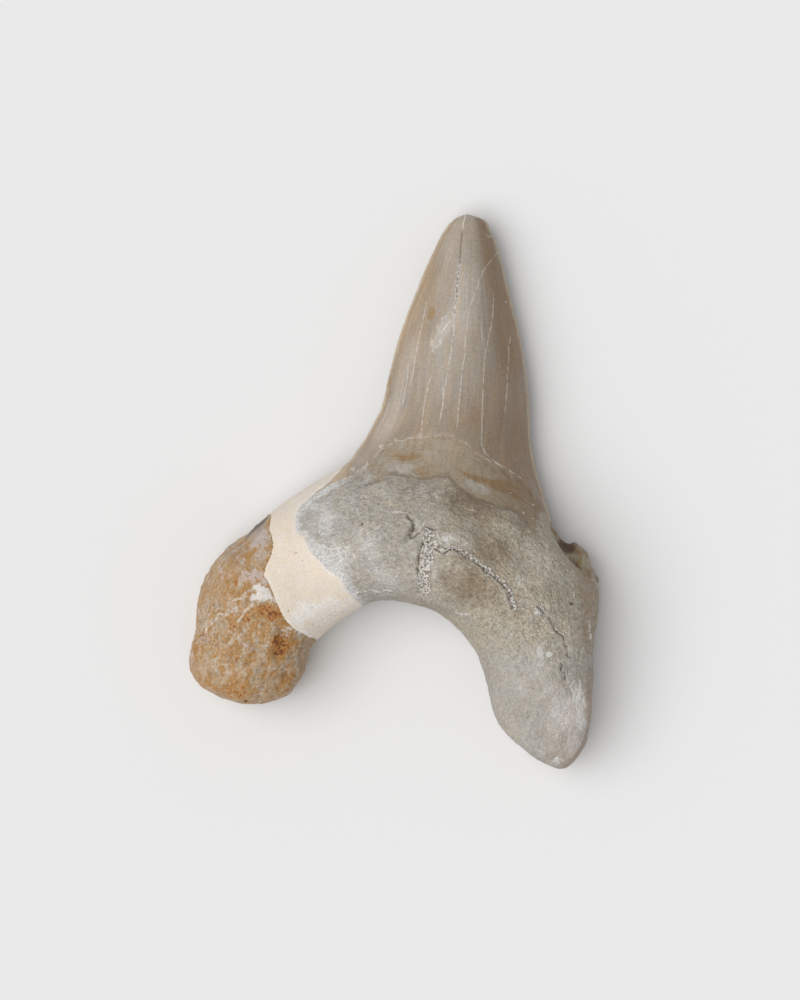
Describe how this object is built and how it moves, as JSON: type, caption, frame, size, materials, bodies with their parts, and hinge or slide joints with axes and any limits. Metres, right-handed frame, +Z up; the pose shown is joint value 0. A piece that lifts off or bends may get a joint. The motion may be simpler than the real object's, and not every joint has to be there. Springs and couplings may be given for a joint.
{
  "type": "fossil shark tooth",
  "caption": "Fossil shark tooth with a tall smooth blade, an arched lobed root and the stub of a side cusp, mended with cream filler and a brown root lobe.",
  "frame": {"origin": "under the middle of the bounding box, on the surface that the tooth lies on", "axes": "+Y runs along the tooth to the point of the blade, +X to the side cusp, +Z up out of the inner face"},
  "size_m": [0.0448, 0.0606, 0.0159],
  "materials": {
    "tooth_stone": "grey-beige fossil enamel with a satin shine, and a matte granular root",
    "cream_filler": "matte cream plaster filler with pinholes",
    "brown_stone": "matte mottled orange-brown fossil root"
  },
  "bodies": {
    "root": {"tooth": "tooth_stone", "filler_band": "cream_filler", "brown_root_lobe": "brown_stone"}
  },
  "joints": []
}
